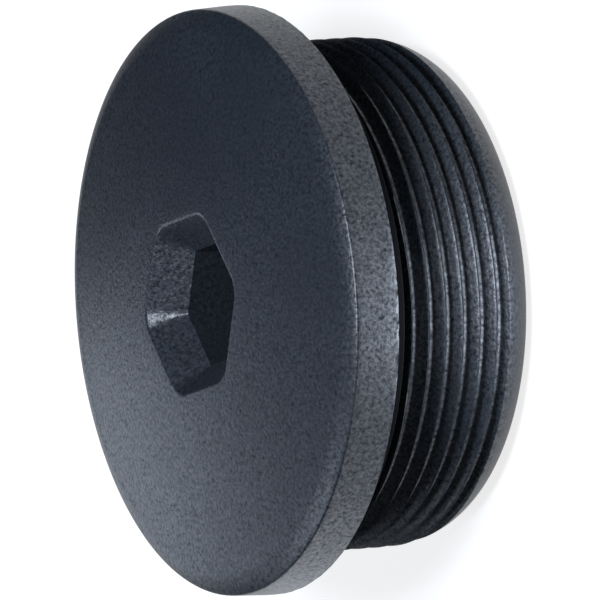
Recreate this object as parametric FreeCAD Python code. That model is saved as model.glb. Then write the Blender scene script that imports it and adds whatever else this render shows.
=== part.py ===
import FreeCAD, Part
import math
import os

# Blind plug for an M40 x 1.5 entry hole: a moulded polyamide screw plug with a domed flange head, a hexagon
# socket and a hollow threaded shank, and the flat rubber ring that seals it under the flange.
# All lengths are in millimetres and all angles in degrees. The plug's axis is Z, with the head up, and Z = 0
# is the flange's seat face.

# Flange head
flange_diameter = 46.0
crown_height = 5.95
dome_radius = 132.0
rim_draft = 5.0
face_edge_round = 1.0
seat_edge_chamfer = 0.2

# Hexagon socket
key_width = 9.0
mouth_width = 13.3
mouth_corner_cut = 0.28
mouth_lip = 0.3
funnel_depth = 2.6
socket_depth = 10.0
socket_turn = 10.0

# Shank and its thread
thread_diameter = 39.8
thread_pitch = 1.5
thread_angle = 60.0
thread_first_angle = 147.0
thread_full_turns = 6.63
thread_runout_turns = 0.36
shank_length = 14.35
nose_length = 4.4
nose_radius = 5.4
end_bevel = 0.4
end_diameter = 33.6

# Neck and sealing ring
neck_diameter = 37.2
ring_thickness = 1.8
ring_width = 2.0
ring_clearance = 0.05
neck_spare = 0.3

# Hollow rear
shank_wall = 3.5
head_wall = 3.6
hollow_draft = 1.0
hollow_corner = 0.8
boss_wall = 3.0
boss_floor = 2.5
rib_count = 6
rib_thickness = 1.8
rib_setback = 0.8

# Radii and heights that follow from the sizes above
flange_radius = flange_diameter / 2
thread_radius = thread_diameter / 2
neck_radius = neck_diameter / 2
groove_depth = 0.6134 * thread_pitch
root_radius = thread_radius - groove_depth
neck_length = ring_clearance + ring_thickness + neck_spare
dome_centre = crown_height - dome_radius
mouth_height = dome_centre + math.sqrt(dome_radius ** 2 - (mouth_width / 2) ** 2)
key_corner_radius = key_width / math.sqrt(3)
mouth_corner_radius = mouth_width / math.sqrt(3) - mouth_corner_cut
boss_radius = key_corner_radius + boss_wall
boss_end = mouth_height - socket_depth - boss_floor
hollow_top = crown_height - head_wall
hollow_radius = root_radius - shank_wall

# Cutting tools reach this far past the faces that they open
overcut = 0.5

Z_AXIS = FreeCAD.Vector(0, 0, 1)
ORIGIN = FreeCAD.Vector(0, 0, 0)


def at(radius, height, angle=0.0):
    """A point given by its distance from the axis, its height and its angle round the axis."""
    turn = math.radians(angle)
    return FreeCAD.Vector(radius * math.cos(turn), radius * math.sin(turn), height)


def slope(angle):
    return math.tan(math.radians(angle))


def line(start, end):
    return Part.LineSegment(start, end).toShape()


def on_arc(centre, radius, angle):
    """The point of a circle in the half-section at this angle, counted up from the outward direction."""
    turn = math.radians(angle)
    return centre + FreeCAD.Vector(radius * math.cos(turn), 0, radius * math.sin(turn))


def arc(centre, radius, start, end):
    points = [on_arc(centre, radius, angle) for angle in (start, (start + end) / 2, end)]
    return Part.Arc(*points).toShape()


def bearing(start, end):
    """The angle of the direction from one point of the half-section to another."""
    return math.degrees(math.atan2(end.z - start.z, end.x - start.x))


def turned(edges):
    """A solid of revolution about the axis from the edges of a half-section, closed by straight lines."""
    outline = []
    for edge, following in zip(edges, edges[1:] + edges[:1]):
        outline.append(edge)
        gap_start, gap_end = edge.Vertexes[-1].Point, following.Vertexes[0].Point
        if gap_start.distanceToPoint(gap_end) > 1e-6:
            outline.append(line(gap_start, gap_end))
    return Part.Face(Part.Wire(outline)).revolve(ORIGIN, Z_AXIS, 360)


def rim_round_centre():
    """Where the circle sits that rounds the edge between the domed face and the drafted rim of the flange.

    It touches the dome from inside and the rim's cone, so it lies on the cone moved in by its own radius, at
    the dome's radius less its own from the dome's centre."""
    inset_radius = flange_radius - face_edge_round / math.cos(math.radians(rim_draft))
    narrowing = slope(rim_draft)
    half_b = inset_radius * narrowing + dome_centre
    c = inset_radius ** 2 + dome_centre ** 2 - (dome_radius - face_edge_round) ** 2
    a = 1 + narrowing ** 2
    height = (half_b + math.sqrt(half_b ** 2 - a * c)) / a
    return at(inset_radius - height * narrowing, height)


def turned_blank():
    """The outside of the plug without its thread and hollows, as one turned section.

    It runs over the domed face and the rim's rounded edge to the seat, in to the neck, down the shank, and
    round the nose, whose long arc leads the plug into its hole and ends in a bevel."""
    dome = at(0, dome_centre)
    rim_round = rim_round_centre()
    dome_end = bearing(dome, rim_round)
    rim_foot = at(flange_radius - seat_edge_chamfer * slope(rim_draft), seat_edge_chamfer)
    seat_edge = at(flange_radius - seat_edge_chamfer, 0)
    neck_top = at(neck_radius, 0)
    neck_end = at(neck_radius, -neck_length)
    shank_top = at(thread_radius, -neck_length - (thread_radius - neck_radius) * slope(thread_angle / 2))
    nose = at(thread_radius - nose_radius, nose_length - shank_length)
    nose_turn = math.degrees(math.asin((end_bevel - nose_length) / nose_radius))
    return turned([
        arc(dome, dome_radius, 90, dome_end),
        arc(rim_round, face_edge_round, dome_end, rim_draft),
        line(rim_foot, seat_edge),
        line(neck_top, neck_end),
        line(shank_top, on_arc(nose, nose_radius, 0)),
        arc(nose, nose_radius, 0, nose_turn),
        line(at(end_diameter / 2, -shank_length), at(0, -shank_length)),
    ])


def hollow_core():
    """The mould's core for the rear: a drafted plug of steel with a bore for the boss and slots for the ribs."""
    bottom = -shank_length - overcut
    mouth_radius = hollow_radius + (hollow_top - bottom) * slope(hollow_draft)
    wall_top = hollow_top - hollow_corner
    core = turned([
        line(at(0, hollow_top), at(hollow_radius - hollow_corner, hollow_top)),
        line(at(hollow_radius + hollow_corner * slope(hollow_draft), wall_top), at(mouth_radius, bottom)),
        line(at(0, bottom), at(0, hollow_top)),
    ])
    boss_height = hollow_top - boss_end + overcut
    core = core.cut(Part.makeCylinder(boss_radius, boss_height, at(0, boss_end)))
    rib_bottom = boss_end + rib_setback
    rib_start = boss_radius - overcut
    for number in range(rib_count):
        rib = Part.makeBox(mouth_radius - rib_start, rib_thickness, hollow_top + overcut - rib_bottom,
                           FreeCAD.Vector(rib_start, -rib_thickness / 2, rib_bottom))
        rib.rotate(ORIGIN, Z_AXIS, socket_turn + number * 360 / rib_count)
        core = core.cut(rib)
    return core


def hexagon(across_flats, height):
    """A closed hexagonal wire with its corners at the socket's angles."""
    corners = [at(across_flats / math.sqrt(3), height, socket_turn + 60 * number) for number in range(7)]
    return Part.makePolygon(corners)


def socket_stage(bottom, top, widths, corner_radii):
    """One flaring stage of the socket: a hexagonal frustum whose corners are turned off by a cone."""
    frustum = Part.makeLoft([hexagon(widths[0], bottom), hexagon(widths[1], top)], True, True)
    cone = Part.makeCone(corner_radii[0], corner_radii[1], top - bottom, at(0, bottom))
    return frustum.common(cone)


def socket_core():
    """The mould's core for the socket: a straight hexagon for the key, a funnel above it, and the mouth's lip.

    The funnel starts as the sharp hexagon of the key and opens into a rounded one under the lip, which flares
    at 45 degrees to the domed face and past it."""
    funnel_bottom = mouth_height - funnel_depth
    lip_bottom = mouth_height - mouth_lip
    past = mouth_height + overcut
    key_hole = Part.Face(hexagon(key_width, mouth_height - socket_depth))
    key_hole = key_hole.extrude(Z_AXIS * (socket_depth - funnel_depth))
    funnel = socket_stage(funnel_bottom, lip_bottom, (key_width, mouth_width - 2 * mouth_lip),
                          (key_corner_radius, mouth_corner_radius - mouth_lip))
    lip = socket_stage(lip_bottom, past, (mouth_width - 2 * mouth_lip, mouth_width + 2 * overcut),
                       (mouth_corner_radius - mouth_lip, mouth_corner_radius + overcut))
    return key_hole.fuse(funnel).fuse(lip)


def thread_groove(top, first_angle, turns, rise):
    """One stretch of the V groove of the thread, swept along a right-hand helix that goes down the shank.

    The groove's bottom starts at the thread's root and comes out by rise over the stretch."""
    bottom_half = thread_pitch / 8
    reach = groove_depth + 0.1 * thread_pitch
    top_half = bottom_half + reach * slope(thread_angle / 2)
    run = turns * thread_pitch
    path = Part.makeHelix(thread_pitch, run, root_radius, math.degrees(math.atan2(rise, run)))
    section = Part.makePolygon([
        at(root_radius, -bottom_half),
        at(root_radius + reach, -top_half),
        at(root_radius + reach, top_half),
        at(root_radius, bottom_half),
        at(root_radius, -bottom_half),
    ])
    groove = Part.Wire(path).makePipeShell([section], True, True)
    groove.rotate(ORIGIN, FreeCAD.Vector(1, 0, 0), 180)
    groove.rotate(ORIGIN, Z_AXIS, first_angle)
    groove.translate(Z_AXIS * top)
    return groove


def cut_thread(blank):
    """Cuts the thread a turn at a time, from the neck down, and lets it run out on the nose."""
    whole_turns = int(thread_full_turns)
    stretches = [(1.0, 0.0)] * whole_turns
    stretches.append((thread_full_turns - whole_turns, 0.0))
    stretches.append((thread_runout_turns, groove_depth))
    top = thread_pitch / 2 - neck_length
    angle = thread_first_angle
    for turns, rise in stretches:
        if turns > 0:
            blank = blank.cut(thread_groove(top, angle, turns, rise))
        top -= turns * thread_pitch
        angle -= turns * 360
    return blank


def plug_body():
    """The moulded body: the threaded blank, less what the two cores of the mould keep open."""
    return cut_thread(turned_blank()).cut(socket_core()).cut(hollow_core())


def sealing_ring():
    """The flat rubber ring in the neck, close under the flange."""
    inner_radius = neck_radius + ring_clearance
    bottom = at(0, -ring_clearance - ring_thickness)
    ring = Part.makeCylinder(inner_radius + ring_width, ring_thickness, bottom)
    return ring.cut(Part.makeCylinder(inner_radius, ring_thickness, bottom))


os.makedirs("parts", exist_ok=True)
for name, shape in {"plug_body": plug_body(), "sealing_ring": sealing_ring()}.items():
    shape.exportStep("parts/" + name + ".step")
    print(name, "valid", shape.isValid(), "solids", len(shape.Solids), "faces", len(shape.Faces),
          "volume mm3", round(shape.Volume, 1))
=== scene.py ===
import math

import bmesh
import bpy
import numpy as np
from mathutils import Matrix, Vector


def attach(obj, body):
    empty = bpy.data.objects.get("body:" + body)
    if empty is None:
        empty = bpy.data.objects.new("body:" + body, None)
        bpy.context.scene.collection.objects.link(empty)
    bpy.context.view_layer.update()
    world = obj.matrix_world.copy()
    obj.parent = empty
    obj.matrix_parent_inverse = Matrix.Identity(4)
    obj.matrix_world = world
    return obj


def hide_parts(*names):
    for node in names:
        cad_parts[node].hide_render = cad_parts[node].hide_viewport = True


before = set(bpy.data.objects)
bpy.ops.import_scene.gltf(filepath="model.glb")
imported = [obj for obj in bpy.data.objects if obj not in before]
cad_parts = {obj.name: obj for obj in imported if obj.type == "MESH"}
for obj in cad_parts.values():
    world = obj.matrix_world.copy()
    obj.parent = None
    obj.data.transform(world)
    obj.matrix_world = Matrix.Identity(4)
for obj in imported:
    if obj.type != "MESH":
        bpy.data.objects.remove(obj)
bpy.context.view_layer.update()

# Moulded body: one piece of glass-filled polyamide, with the domed flange head and its hexagon socket, the
# neck, the threaded shank and the hollow rear. Its mesh is one closed skin: rows of points from the socket's
# floor over the head, down the shank and up into the hollow, and columns of them round the axis.

# Sizes are in millimetres and degrees, and the seat of the flange is at height 0.
MM = 0.001
socket_turn = 10.0
sector_count = 6
sector_columns = 64
column_count = sector_count * sector_columns
column = np.arange(column_count + 1)
column_angle = socket_turn + column * 360 / column_count

skin_radius = []
skin_height = []
skin_angle = []


def add_rows(radius, height, angle=column_angle):
    """Adds rows to the skin: each argument spreads over the rows and the columns that it doesn't name."""
    radius, height, angle = np.broadcast_arrays(radius, height, angle)
    skin_radius.append(np.atleast_2d(radius))
    skin_height.append(np.atleast_2d(height))
    skin_angle.append(np.atleast_2d(angle))


def steps(start, end, count):
    """A column of evenly spaced values, both ends included, that spreads over the columns."""
    return np.linspace(start, end, count)[:, None]


def smooth_min(first, second, blend):
    """The lesser of two values, rounded off by a parabola where they differ by less than the blend."""
    share = np.clip(0.5 + 0.5 * (second - first) / blend, 0, 1)
    return second * (1 - share) + first * share - blend * share * (1 - share)


def hexagon_radius(across_flats):
    """Distance from the axis to a hexagon at each column: half its width over the cosine from the flat."""
    from_flat = np.mod(column_angle - socket_turn, 60) - 30
    return across_flats / 2 / np.cos(np.radians(from_flat))


crown_height = 5.95
dome_radius = 132.0


def dome_height(radius):
    """Height of the domed face: a sphere whose top is the crown."""
    return crown_height - dome_radius + np.sqrt(dome_radius ** 2 - radius ** 2)


# The socket: floor, straight hexagon, then a funnel whose corners a cone turns off, and a rounded lip.
key_width = 9.0
mouth_width = 13.3
mouth_corner_cut = 0.4
funnel_depth = 2.6
socket_depth = 10.0
corner_blend = 0.16
lip_depth = 0.15
lip_width = 0.2

mouth_height = dome_height(mouth_width / 2)
socket_floor = mouth_height - socket_depth
funnel_bottom = mouth_height - funnel_depth
key_radius = hexagon_radius(key_width)
add_rows(steps(0, 1, 3) * key_radius, socket_floor)
add_rows(key_radius, steps(socket_floor, funnel_bottom, 5)[1:])

funnel_share = steps(0, 1 - lip_depth / funnel_depth, 9)[1:]
funnel_width = key_width + (mouth_width - key_width) * funnel_share
cone_start = key_width / math.sqrt(3)
cone_end = mouth_width / math.sqrt(3) - mouth_corner_cut
funnel_cone = cone_start + (cone_end - cone_start) * funnel_share
funnel_radius = smooth_min(hexagon_radius(funnel_width), funnel_cone + corner_blend / 4, corner_blend)
add_rows(funnel_radius, funnel_bottom + funnel_depth * funnel_share)

mouth_radius = smooth_min(hexagon_radius(mouth_width), cone_end + corner_blend / 4, corner_blend)
lip_share = steps(0, 1, 7)[1:]
lip_radius = ((1 - lip_share) ** 2 * funnel_radius[-1] + 2 * lip_share * (1 - lip_share) * mouth_radius
              + lip_share ** 2 * (mouth_radius + lip_width))
lip_height = ((1 - lip_share) ** 2 * (mouth_height - lip_depth)
              + 2 * lip_share * (1 - lip_share) * dome_height(mouth_radius)
              + lip_share ** 2 * dome_height(mouth_radius + lip_width))
add_rows(lip_radius, lip_height)

# The face and the flange's rim. A low bead runs round the face, which then falls away in an arc to a crisp
# edge. The drafted rim ends at the back in a thin line of flash, ragged where the mould's halves met badly.
face_radius = 21.0
bead_radius = 21.2
bead_height = 0.03
bead_width = 0.4
brow_round = 4.5
brow_turn = 32.0
edge_round = 0.28
rim_draft = 5.0
rim_radius = 22.93
rim_foot = 0.75
flash_height = 0.04
flash_root = 3 * flash_height
flash_ragged = 0.05
flash_bevel = 0.03

bead_share = 0.9


def bead_rise(radius):
    """Height of the bead above the face: a bell curve over the distance from the bead's middle."""
    return bead_height * np.exp(-((radius - bead_radius) / bead_width) ** 2)


# The rows of the face draw closer together where the bead begins.
face_share = np.concatenate([np.linspace(0, bead_share, 13)[1:], np.linspace(bead_share, 1, 14)[1:]])[:, None]
face_row = (mouth_radius + lip_width) * (1 - face_share) + face_radius * face_share
add_rows(face_row, dome_height(face_row) + bead_rise(face_row))

brow_start = math.degrees(math.asin(face_radius / dome_radius))
brow_angle = np.radians(steps(brow_start, brow_turn, 14)[1:])
brow_centre_radius = face_radius - brow_round * math.sin(math.radians(brow_start))
brow_centre_height = dome_height(face_radius) - brow_round * math.cos(math.radians(brow_start))
brow_row = brow_centre_radius + brow_round * np.sin(brow_angle)
add_rows(brow_row, brow_centre_height + brow_round * np.cos(brow_angle) + bead_rise(brow_row))

edge_angle = np.radians(steps(brow_turn, 90 - rim_draft, 6)[1:])
edge_centre_radius = brow_row[-1, 0] - edge_round * math.sin(math.radians(brow_turn))
edge_centre_height = brow_centre_height + (brow_round - edge_round) * math.cos(math.radians(brow_turn))
edge_row = edge_centre_radius + edge_round * np.sin(edge_angle)
add_rows(edge_row, edge_centre_height + edge_round * np.cos(edge_angle))
edge_end = edge_centre_height + edge_round * math.cos(edge_angle[-1, 0])
rim_share = steps(0, 1, 6)[1:]
add_rows(edge_row[-1, 0] + (rim_radius - edge_row[-1, 0]) * rim_share,
         edge_end + (rim_foot - edge_end) * rim_share)

# The flash is roughest at angle 0 and fades out on the far side.
chance = np.random.default_rng(7)
ragged = np.clip(chance.normal(0, 1, column_count), -1, 1)
ragged = np.append(ragged, ragged[0]) * np.cos(np.radians(column_angle) / 2) ** 4
add_rows(rim_radius, steps(rim_foot, flash_root, 4)[1:])
add_rows(rim_radius + flash_ragged * ragged, flash_height)
add_rows(rim_radius - flash_bevel, 0.0)

# The seat and the neck under the flange.
neck_radius = 18.6
neck_end = -2.15
neck_fillet = 0.2
seat_share = steps(0, 1, 4)[1:]
seat_start = rim_radius - flash_bevel
add_rows(seat_start + (neck_radius + neck_fillet - seat_start) * seat_share, 0.0)
fillet_turn = np.radians(steps(0, 90, 4)[1:])
add_rows(neck_radius + neck_fillet * (1 - np.sin(fillet_turn)), -neck_fillet * (1 - np.cos(fillet_turn)))
add_rows(neck_radius, neck_end)

# The thread: a right-hand 60 degree groove, 1.5 mm from turn to turn, that runs out on the rounded nose.
# The rows climb with the groove, so that crest and root are each a line of points. Rows above the neck's end
# or below the thread are pressed flat there, and points that fall together are merged later. The rows of
# half a groove go from its middle to the crest, and are closer together where it is rounded.
thread_radius = 19.9
thread_pitch = 1.5
flank_slope = math.tan(math.radians(30))
groove_depth = 0.6134 * thread_pitch
groove_top = thread_pitch / 2 + neck_end
groove_first_angle = 147.0
groove_full_turns = 6.63
groove_runout_turns = 0.36
root_half = thread_pitch / 8
shank_end = -14.35
nose_length = 4.41
nose_inset = 3.09
thread_end = -12.7
crest_round = 0.16
half_groove_rows = np.array([0, 0.10, 0.17, 0.25, 0.42, 0.58, 0.67])


def nose_envelope(height):
    """Radius of the shank without its groove: a flank up from the neck, a cylinder and a quarter ellipse."""
    lead_in = neck_radius + (neck_end - height) / flank_slope
    along_nose = np.clip((shank_end + nose_length - height) / nose_length, 0, 1)
    nose = thread_radius - nose_inset * (1 - np.sqrt(1 - along_nose ** 2))
    return np.minimum(lead_in, nose)


def thread_surface(height):
    """Radius of the threaded shank: the envelope, cut by the groove where the helix passes.

    The groove is as deep as the V is at this distance from its middle, no deeper than the root, and it rises
    steadily over the last part of a turn. The crest and the root are rounded."""
    turns_down = (groove_top - height) / thread_pitch
    turns_round = (groove_first_angle - column_angle) / 360
    nearest = np.round(turns_down - turns_round)
    off_middle = np.abs(turns_down - turns_round - nearest) * thread_pitch
    travelled = nearest + turns_round
    runout = np.clip((travelled - groove_full_turns) / groove_runout_turns, 0, 1)
    started = travelled >= 0
    flank_depth = groove_depth - (off_middle - root_half) / flank_slope
    depth = smooth_min(flank_depth, groove_depth, crest_round) - groove_depth * runout
    groove = thread_radius - np.where(started, depth, 0)
    return smooth_min(nose_envelope(height), groove, crest_round / 2)


row_offsets = np.concatenate([half_groove_rows, [thread_pitch / 2], thread_pitch - half_groove_rows[:0:-1]])
pitches = np.arange(math.ceil((neck_end - thread_end) / thread_pitch) + 2)[:, None]
rows_down = (pitches * thread_pitch + row_offsets).reshape(-1, 1)
first_groove = groove_top + thread_pitch * (socket_turn - groove_first_angle) / 360 + thread_pitch
climb = thread_pitch * column / column_count
thread_height = np.clip(first_groove + climb - rows_down, thread_end, neck_end)
add_rows(thread_surface(thread_height), thread_height)

# The rest of the nose, and the flat end that the plug stands on.
end_lip = 0.15
nose_start = math.asin((shank_end + nose_length - thread_end) / nose_length)
nose_turn = steps(nose_start, math.pi / 2, 15)[1:]
add_rows(thread_radius - nose_inset * (1 - np.cos(nose_turn)),
         shank_end + nose_length - nose_length * np.sin(nose_turn))

# The hollow rear: a drafted wall, a flat ceiling, the socket's boss in the middle and six ribs across the
# channel between them. The columns draw together at each rib, so that its sides are straight and parallel.
hollow_radius = 15.48
hollow_draft = math.tan(math.radians(1))
hollow_top = 2.35
boss_wall = 3.0
boss_floor = 2.5
boss_radius = key_width / math.sqrt(3) + boss_wall
boss_end = mouth_height - (socket_depth + boss_floor)
rib_half = 0.9
rib_setback = 0.8
rib_end = boss_end + rib_setback
rib_columns = 5
rib_side_draft = 0.06
from_rib = np.mod(column + sector_columns // 2, sector_columns) - sector_columns // 2


def hollow_angle(radius):
    """Angle of each column at a radius of the hollow, so that five columns each way cover half a rib.

    The rib's half width gives the angle of its edge, and the columns beyond it share out what is left."""
    edge = np.degrees(np.arcsin(rib_half / radius))
    side = np.degrees(np.arcsin((rib_half + rib_side_draft) / radius))
    outside = np.abs(from_rib) - rib_columns - 1
    spread = side + (30 - side) * outside / (sector_columns // 2 - rib_columns - 1)
    turn = np.where(outside >= 0, spread, edge * np.abs(from_rib) / rib_columns)
    return column_angle - from_rib * 360 / column_count + np.sign(from_rib) * turn


def add_hollow_rows(radius, height):
    """Adds rows inside the hollow, and holds the columns of each rib down to the rib's own end."""
    height = np.where(np.abs(from_rib) <= rib_columns, np.minimum(height, rib_end), height)
    add_rows(radius, height, hollow_angle(radius))


def wall_radius(height):
    """Radius of the hollow's drafted wall."""
    return hollow_radius + (hollow_top - height) * hollow_draft


lip_middle = end_lip * (1 - math.sqrt(0.5))
add_rows(wall_radius(shank_end) + end_lip, shank_end)
add_rows(wall_radius(shank_end) + lip_middle, shank_end + lip_middle)
wall_rows = steps(shank_end + end_lip, rib_end, 5)
add_hollow_rows(wall_radius(wall_rows), wall_rows)
corner_round = 0.8
upper_rows = steps(rib_end, hollow_top - corner_round, 5)[1:]
add_hollow_rows(wall_radius(upper_rows), upper_rows)
corner_turn = np.radians(steps(0, 90, 5)[1:])
add_hollow_rows(hollow_radius - corner_round * (1 - np.cos(corner_turn)),
                hollow_top - corner_round * (1 - np.sin(corner_turn)))
ceiling_rows = steps(hollow_radius - corner_round, boss_radius, 4)[1:]
add_hollow_rows(ceiling_rows, hollow_top)
add_hollow_rows(boss_radius, steps(hollow_top, boss_end + end_lip, 6)[1:])
add_hollow_rows(boss_radius - end_lip, boss_end)
add_rows(steps(boss_radius - end_lip, 0, 4)[1:], boss_end)


crease_angle = 38.0
merge_distance = 0.001
sliver_width = 0.0005


def skin_mesh(name, radius, height, angle):
    """A closed mesh from rows of points round the axis, with four-sided faces between neighbouring points."""
    turn = np.radians(angle)
    points = np.stack([radius * np.cos(turn), radius * np.sin(turn), height], axis=-1) * MM
    row_count, point_count = radius.shape
    index = np.arange(row_count * point_count).reshape(row_count, point_count)
    faces = np.stack([index[:-1, :-1], index[1:, :-1], index[1:, 1:], index[:-1, 1:]], axis=-1)
    mesh = bpy.data.meshes.new(name)
    mesh.from_pydata(points.reshape(-1, 3).tolist(), [], faces.reshape(-1, 4).tolist())
    mesh.validate()
    merge_points(mesh)
    mesh.shade_smooth()
    mesh.set_sharp_from_angle(angle=math.radians(crease_angle))
    return mesh


def merge_points(mesh):
    """Merges the points of a mesh that lie together, and removes the slivers that are left."""
    shape = bmesh.new()
    shape.from_mesh(mesh)
    bmesh.ops.remove_doubles(shape, verts=shape.verts, dist=merge_distance * MM)
    bmesh.ops.dissolve_degenerate(shape, edges=shape.edges, dist=sliver_width * MM)
    shape.to_mesh(mesh)
    shape.free()


body = bpy.data.objects.new("moulded_body", skin_mesh(
    "moulded_body", np.vstack(skin_radius), np.vstack(skin_height), np.vstack(skin_angle)))
bpy.context.collection.objects.link(body)


def linear(hex_colour):
    """An sRGB hex colour as linear red, green, blue and full opacity."""
    values = np.array([int(hex_colour[i:i + 2], 16) for i in (1, 3, 5)]) / 255
    low = values / 12.92
    high = ((values + 0.055) / 1.055) ** 2.4
    return tuple(np.where(values <= 0.04045, low, high)) + (1.0,)


def add_node(tree, kind, settings=None, **inputs):
    """Adds a node: settings are its own properties, and each input is a value or another node's output.

    An input goes by its name, or by the letter i and its number where names repeat."""
    node = tree.nodes.new(kind)
    for name, value in (settings or {}).items():
        setattr(node, name, value)
    for name, value in inputs.items():
        socket = node.inputs[int(name[1:])] if name[0] == "i" and name[1:].isdigit() else node.inputs[name]
        if isinstance(value, bpy.types.NodeSocket):
            tree.links.new(value, socket)
        else:
            socket.default_value = value
    return node


def new_material(name):
    """A material with an empty node tree and its output node."""
    material = bpy.data.materials.new(name)
    material.use_nodes = True
    material.node_tree.nodes.clear()
    return material, material.node_tree, material.node_tree.nodes.new("ShaderNodeOutputMaterial")


# Moulded polyamide from a spark-eroded mould: nearly black, with a soft gloss that gives it the slate grey
# look. The mould's grain breaks the gloss into fine specks. Such grain is usually about 0.1 mm wide, and is
# drawn here at 0.3 mm so that it shows. The melt left faint cloudy marks, and the nose is smoother.
grain_size = 0.3
pit_size = 0.6
flow_size = 9.0
grain_dark = "#13161a"
grain_light = "#2a2f35"
flow_mark = "#1d2126"
sheen_swing = 0.45
relief_depth = 0.03
pit_share = 0.5
nose_grain = 0.3
nose_smooth = -12.6
nose_grained = -11.8


def moulded_polyamide():
    """Polyamide: noise at the grain's size sets colour, gloss and relief. The last two fade on the nose."""
    material, tree, output = new_material("spark_eroded_polyamide")
    place = add_node(tree, "ShaderNodeTexCoord").outputs["Object"]
    grain = add_node(tree, "ShaderNodeTexNoise", {}, Vector=place,
                     Scale=1 / (grain_size * MM), Detail=2.5, Roughness=0.7).outputs["Fac"]
    pits = add_node(tree, "ShaderNodeTexNoise", {}, Vector=place,
                    Scale=1 / (pit_size * MM), Detail=2.0, Roughness=0.5).outputs["Fac"]
    flow = add_node(tree, "ShaderNodeTexNoise", {}, Vector=place,
                    Scale=1 / (flow_size * MM), Detail=3.0, Roughness=0.55).outputs["Fac"]
    speck = add_node(tree, "ShaderNodeMapRange", {}, i0=grain, i1=0.3, i2=0.7, i3=0.0, i4=1.0).outputs[0]
    cloud = add_node(tree, "ShaderNodeMapRange", {}, i0=flow, i1=0.35, i2=0.65, i3=0.0, i4=1.0).outputs[0]
    colour = add_node(tree, "ShaderNodeMix", {"data_type": "RGBA"}, i0=speck,
                      i6=linear(grain_dark), i7=linear(grain_light)).outputs[2]
    clouded = add_node(tree, "ShaderNodeMix", {"data_type": "RGBA"}, i0=cloud,
                       i6=colour, i7=linear(flow_mark)).outputs[2]
    height = add_node(tree, "ShaderNodeSeparateXYZ", {}, i0=place).outputs["Z"]
    coarse = add_node(tree, "ShaderNodeMapRange", {}, i0=height, i1=nose_smooth * MM, i2=nose_grained * MM,
                      i3=nose_grain, i4=1.0).outputs[0]
    texture = add_node(tree, "ShaderNodeMapRange", {}, i0=grain, i1=0.3, i2=0.7,
                       i3=-sheen_swing, i4=sheen_swing).outputs[0]
    sheen = add_node(tree, "ShaderNodeMath", {"operation": "MULTIPLY_ADD"}, i0=texture, i1=coarse,
                     i2=0.5).outputs[0]
    relief = add_node(tree, "ShaderNodeMath", {"operation": "MULTIPLY_ADD"}, i0=pits, i1=pit_share,
                      i2=grain).outputs[0]
    bump = add_node(tree, "ShaderNodeBump", {}, Strength=coarse, Distance=relief_depth * MM,
                    Height=relief).outputs[0]
    skin = add_node(tree, "ShaderNodeBsdfPrincipled", {}, Normal=bump, Roughness=0.42, IOR=1.53,
                    **{"Base Color": clouded, "Specular IOR Level": sheen})
    tree.links.new(skin.outputs[0], output.inputs[0])
    return material


body.data.materials.append(moulded_polyamide())
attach(body, "root")
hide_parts("plug_body")

# Sealing ring: a flat ring of black nitrile rubber, moulded with slightly rounded edges. It is stretched over
# the thread into the neck, and lies close under the flange.
ring_clearance = 0.05
ring_inner = neck_radius + ring_clearance
ring_width = 2.0
ring_thickness = 1.8
ring_edge = 0.2

corner_steps = np.radians(np.linspace(0, 90, 4))
quarter_across = ring_edge * (1 - np.cos(corner_steps))
quarter_down = ring_edge * (1 - np.sin(corner_steps))
ring_across = np.concatenate([quarter_across, ring_width - quarter_across[::-1]])
ring_across = np.concatenate([ring_across, ring_across[::-1]])
ring_down = np.concatenate([quarter_down, quarter_down[::-1]])
ring_down = np.concatenate([ring_down, ring_thickness - ring_down[::-1]])
ring_profile_radius = ring_inner + np.append(ring_across, ring_across[0])
ring_profile_height = -ring_clearance - np.append(ring_down, ring_down[0])
ring_rows = np.ones((1, column_count + 1))
ring = bpy.data.objects.new("rubber_ring", skin_mesh(
    "rubber_ring", ring_profile_radius[:, None] * ring_rows, ring_profile_height[:, None] * ring_rows,
    column_angle + 0 * ring_profile_radius[:, None]))
bpy.context.collection.objects.link(ring)


# Nitrile rubber from a smooth mould: matt, with a faint bloom that keeps it from looking flat. Its black is
# partly the rubber's own and partly painted shade, darker than rubber is, for the shaded gap under the
# flange.
bloom_size = 1.2
bloom_depth = 0.02
# Both blacks are darker than the rubber's own colour: painted shade for the gap under the flange.
rubber_and_shade_dark = "#070708"
rubber_and_shade_light = "#0c0c0e"


def nitrile_rubber_and_shade():
    """Rubber darkened with painted shade: one noise at the bloom's size sets colour and relief."""
    material, tree, output = new_material("nitrile_rubber_and_shade")
    place = add_node(tree, "ShaderNodeTexCoord").outputs["Object"]
    bloom = add_node(tree, "ShaderNodeTexNoise", {}, Vector=place,
                     Scale=1 / (bloom_size * MM), Detail=4.0).outputs["Fac"]
    colour = add_node(tree, "ShaderNodeMix", {"data_type": "RGBA"}, i0=bloom,
                      i6=linear(rubber_and_shade_dark), i7=linear(rubber_and_shade_light)).outputs[2]
    bump = add_node(tree, "ShaderNodeBump", {}, Strength=0.3, Distance=bloom_depth * MM,
                    Height=bloom).outputs[0]
    skin = add_node(tree, "ShaderNodeBsdfPrincipled", {}, Normal=bump, Roughness=0.9, IOR=1.5,
                    **{"Base Color": colour, "Specular IOR Level": 0.05})
    tree.links.new(skin.outputs[0], output.inputs[0])
    return material


ring.data.materials.append(nitrile_rubber_and_shade())
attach(ring, "root")
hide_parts("sealing_ring")

# Studio: the plug stands on its threaded end on a white sheet, which the camera sees as plain white with the
# plug's soft shadow, and which throws back less light than it shows.
floor_half = 2.0
floor_height = shank_end * MM
floor_mesh = bpy.data.meshes.new("white_sheet")
floor_mesh.from_pydata([(-floor_half, -floor_half, floor_height), (floor_half, -floor_half, floor_height),
                        (floor_half, floor_half, floor_height), (-floor_half, floor_half, floor_height)],
                       [], [(0, 1, 2, 3)])
floor = bpy.data.objects.new("white_sheet", floor_mesh)
bpy.context.collection.objects.link(floor)
floor_bounce = 0.3
floor_glow = 0.8


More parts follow.
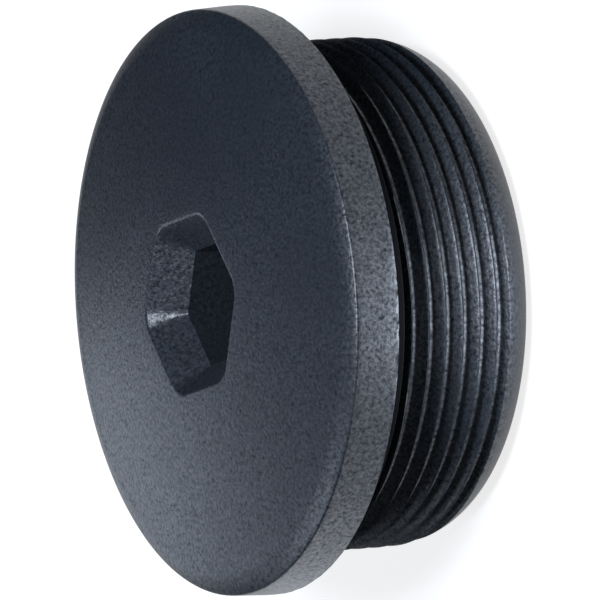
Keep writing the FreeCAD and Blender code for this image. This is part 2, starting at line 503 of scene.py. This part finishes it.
def white_sheet():
    """Matt white paper: rays from the camera, off a gloss or through a clear piece see it glow as well."""
    material, tree, output = new_material("white_paper")
    path = add_node(tree, "ShaderNodeLightPath").outputs
    seen = add_node(tree, "ShaderNodeMath", {"operation": "MAXIMUM"}, i0=path["Is Camera Ray"],
                    i1=path["Is Glossy Ray"]).outputs[0]
    seen = add_node(tree, "ShaderNodeMath", {"operation": "MAXIMUM"}, i0=seen,
                    i1=path["Is Transmission Ray"]).outputs[0]
    paper = add_node(tree, "ShaderNodeBsdfDiffuse", {}, Color=(floor_bounce, floor_bounce, floor_bounce, 1))
    glow_level = add_node(tree, "ShaderNodeMath", {"operation": "MULTIPLY"}, i0=seen,
                          i1=floor_glow).outputs[0]
    glow = add_node(tree, "ShaderNodeEmission", {}, Color=(1, 1, 1, 1), Strength=glow_level)
    both = add_node(tree, "ShaderNodeAddShader", {}, i0=paper.outputs[0], i1=glow.outputs[0])
    tree.links.new(both.outputs[0], output.inputs[0])
    return material


floor_mesh.materials.append(white_sheet())


# Soft, slightly blue lamps: a key above the side that the camera sees, and weaker ones round the plug.
lamp_colour = "#e4efff"
sky_colour = "#5a74b4"
sky_strength = 0.04
card_gap = 0.1


def add_lamp(name, azimuth, elevation, distance, size, power):
    """A square soft lamp that faces the plug from an azimuth and an elevation, in millimetres and watts."""
    light = bpy.data.lights.new(name, "AREA")
    light.size = size * MM
    light.energy = power
    light.color = linear(lamp_colour)[:3]
    lamp = bpy.data.objects.new(name, light)
    turn = math.radians(azimuth)
    rise = math.radians(elevation)
    towards = Vector((math.cos(turn) * math.cos(rise), math.sin(turn) * math.cos(rise), math.sin(rise)))
    lamp.location = towards * distance * MM
    lamp.rotation_euler = towards.to_track_quat("Z", "Y").to_euler()
    bpy.context.collection.objects.link(lamp)
    return lamp


def add_card(name, azimuth, distance, size, power):
    """A small lamp that lies on the sheet, unseen, and shines up at the plug as a white card there would."""
    card = add_lamp(name, azimuth, 0, distance, size, power)
    card.location.z = floor_height + card_gap * MM
    card.rotation_euler = (math.pi, 0, 0)
    card.visible_camera = False
    return card


add_lamp("key_lamp", 12, 57, 300, 90, 1.35)
add_lamp("top_lamp", -125, 48, 300, 100, 0.2)
add_lamp("back_lamp", -164, 18, 110, 50, 0.018)
add_card("nose_card", -5, 33, 20, 0.014)
add_card("low_card", -90, 60, 50, 0.008)

world = bpy.data.worlds.new("studio")
bpy.context.scene.world = world
world.use_nodes = True
world.node_tree.nodes["Background"].inputs["Color"].default_value = linear(sky_colour)
world.node_tree.nodes["Background"].inputs["Strength"].default_value = sky_strength

# Camera: a long lens above the plug's side, rolled so that the plug's axis lies across the picture.
view_azimuth = 1.9
view_elevation = 28.77
view_roll = -93.94
view_distance = 1501.5
view_width = 46.52
sensor_width = 36.0
aim_height = 4.1
aim_right = 7.105
aim_up = 0.238

turn = math.radians(view_azimuth)
rise = math.radians(view_elevation)
roll = math.radians(view_roll)
back = Vector((math.cos(turn) * math.cos(rise), math.sin(turn) * math.cos(rise), math.sin(rise)))
level_right = Vector((-math.sin(turn), math.cos(turn), 0))
level_up = back.cross(level_right)
right = math.cos(roll) * level_right + math.sin(roll) * level_up
up = back.cross(right)
aim = Vector((0, 0, aim_height)) + aim_right * right + aim_up * up
camera_data = bpy.data.cameras.new("camera")
camera_data.sensor_width = sensor_width
camera_data.lens = sensor_width * view_distance / view_width
camera_data.clip_end = 20.0
camera = bpy.data.objects.new("camera", camera_data)
camera.matrix_world = Matrix.Translation((aim + view_distance * back) * MM) @ Matrix(
    (right, up, back)).transposed().to_4x4()
bpy.context.collection.objects.link(camera)
bpy.context.scene.camera = camera
bpy.context.scene.view_settings.view_transform = "Standard"
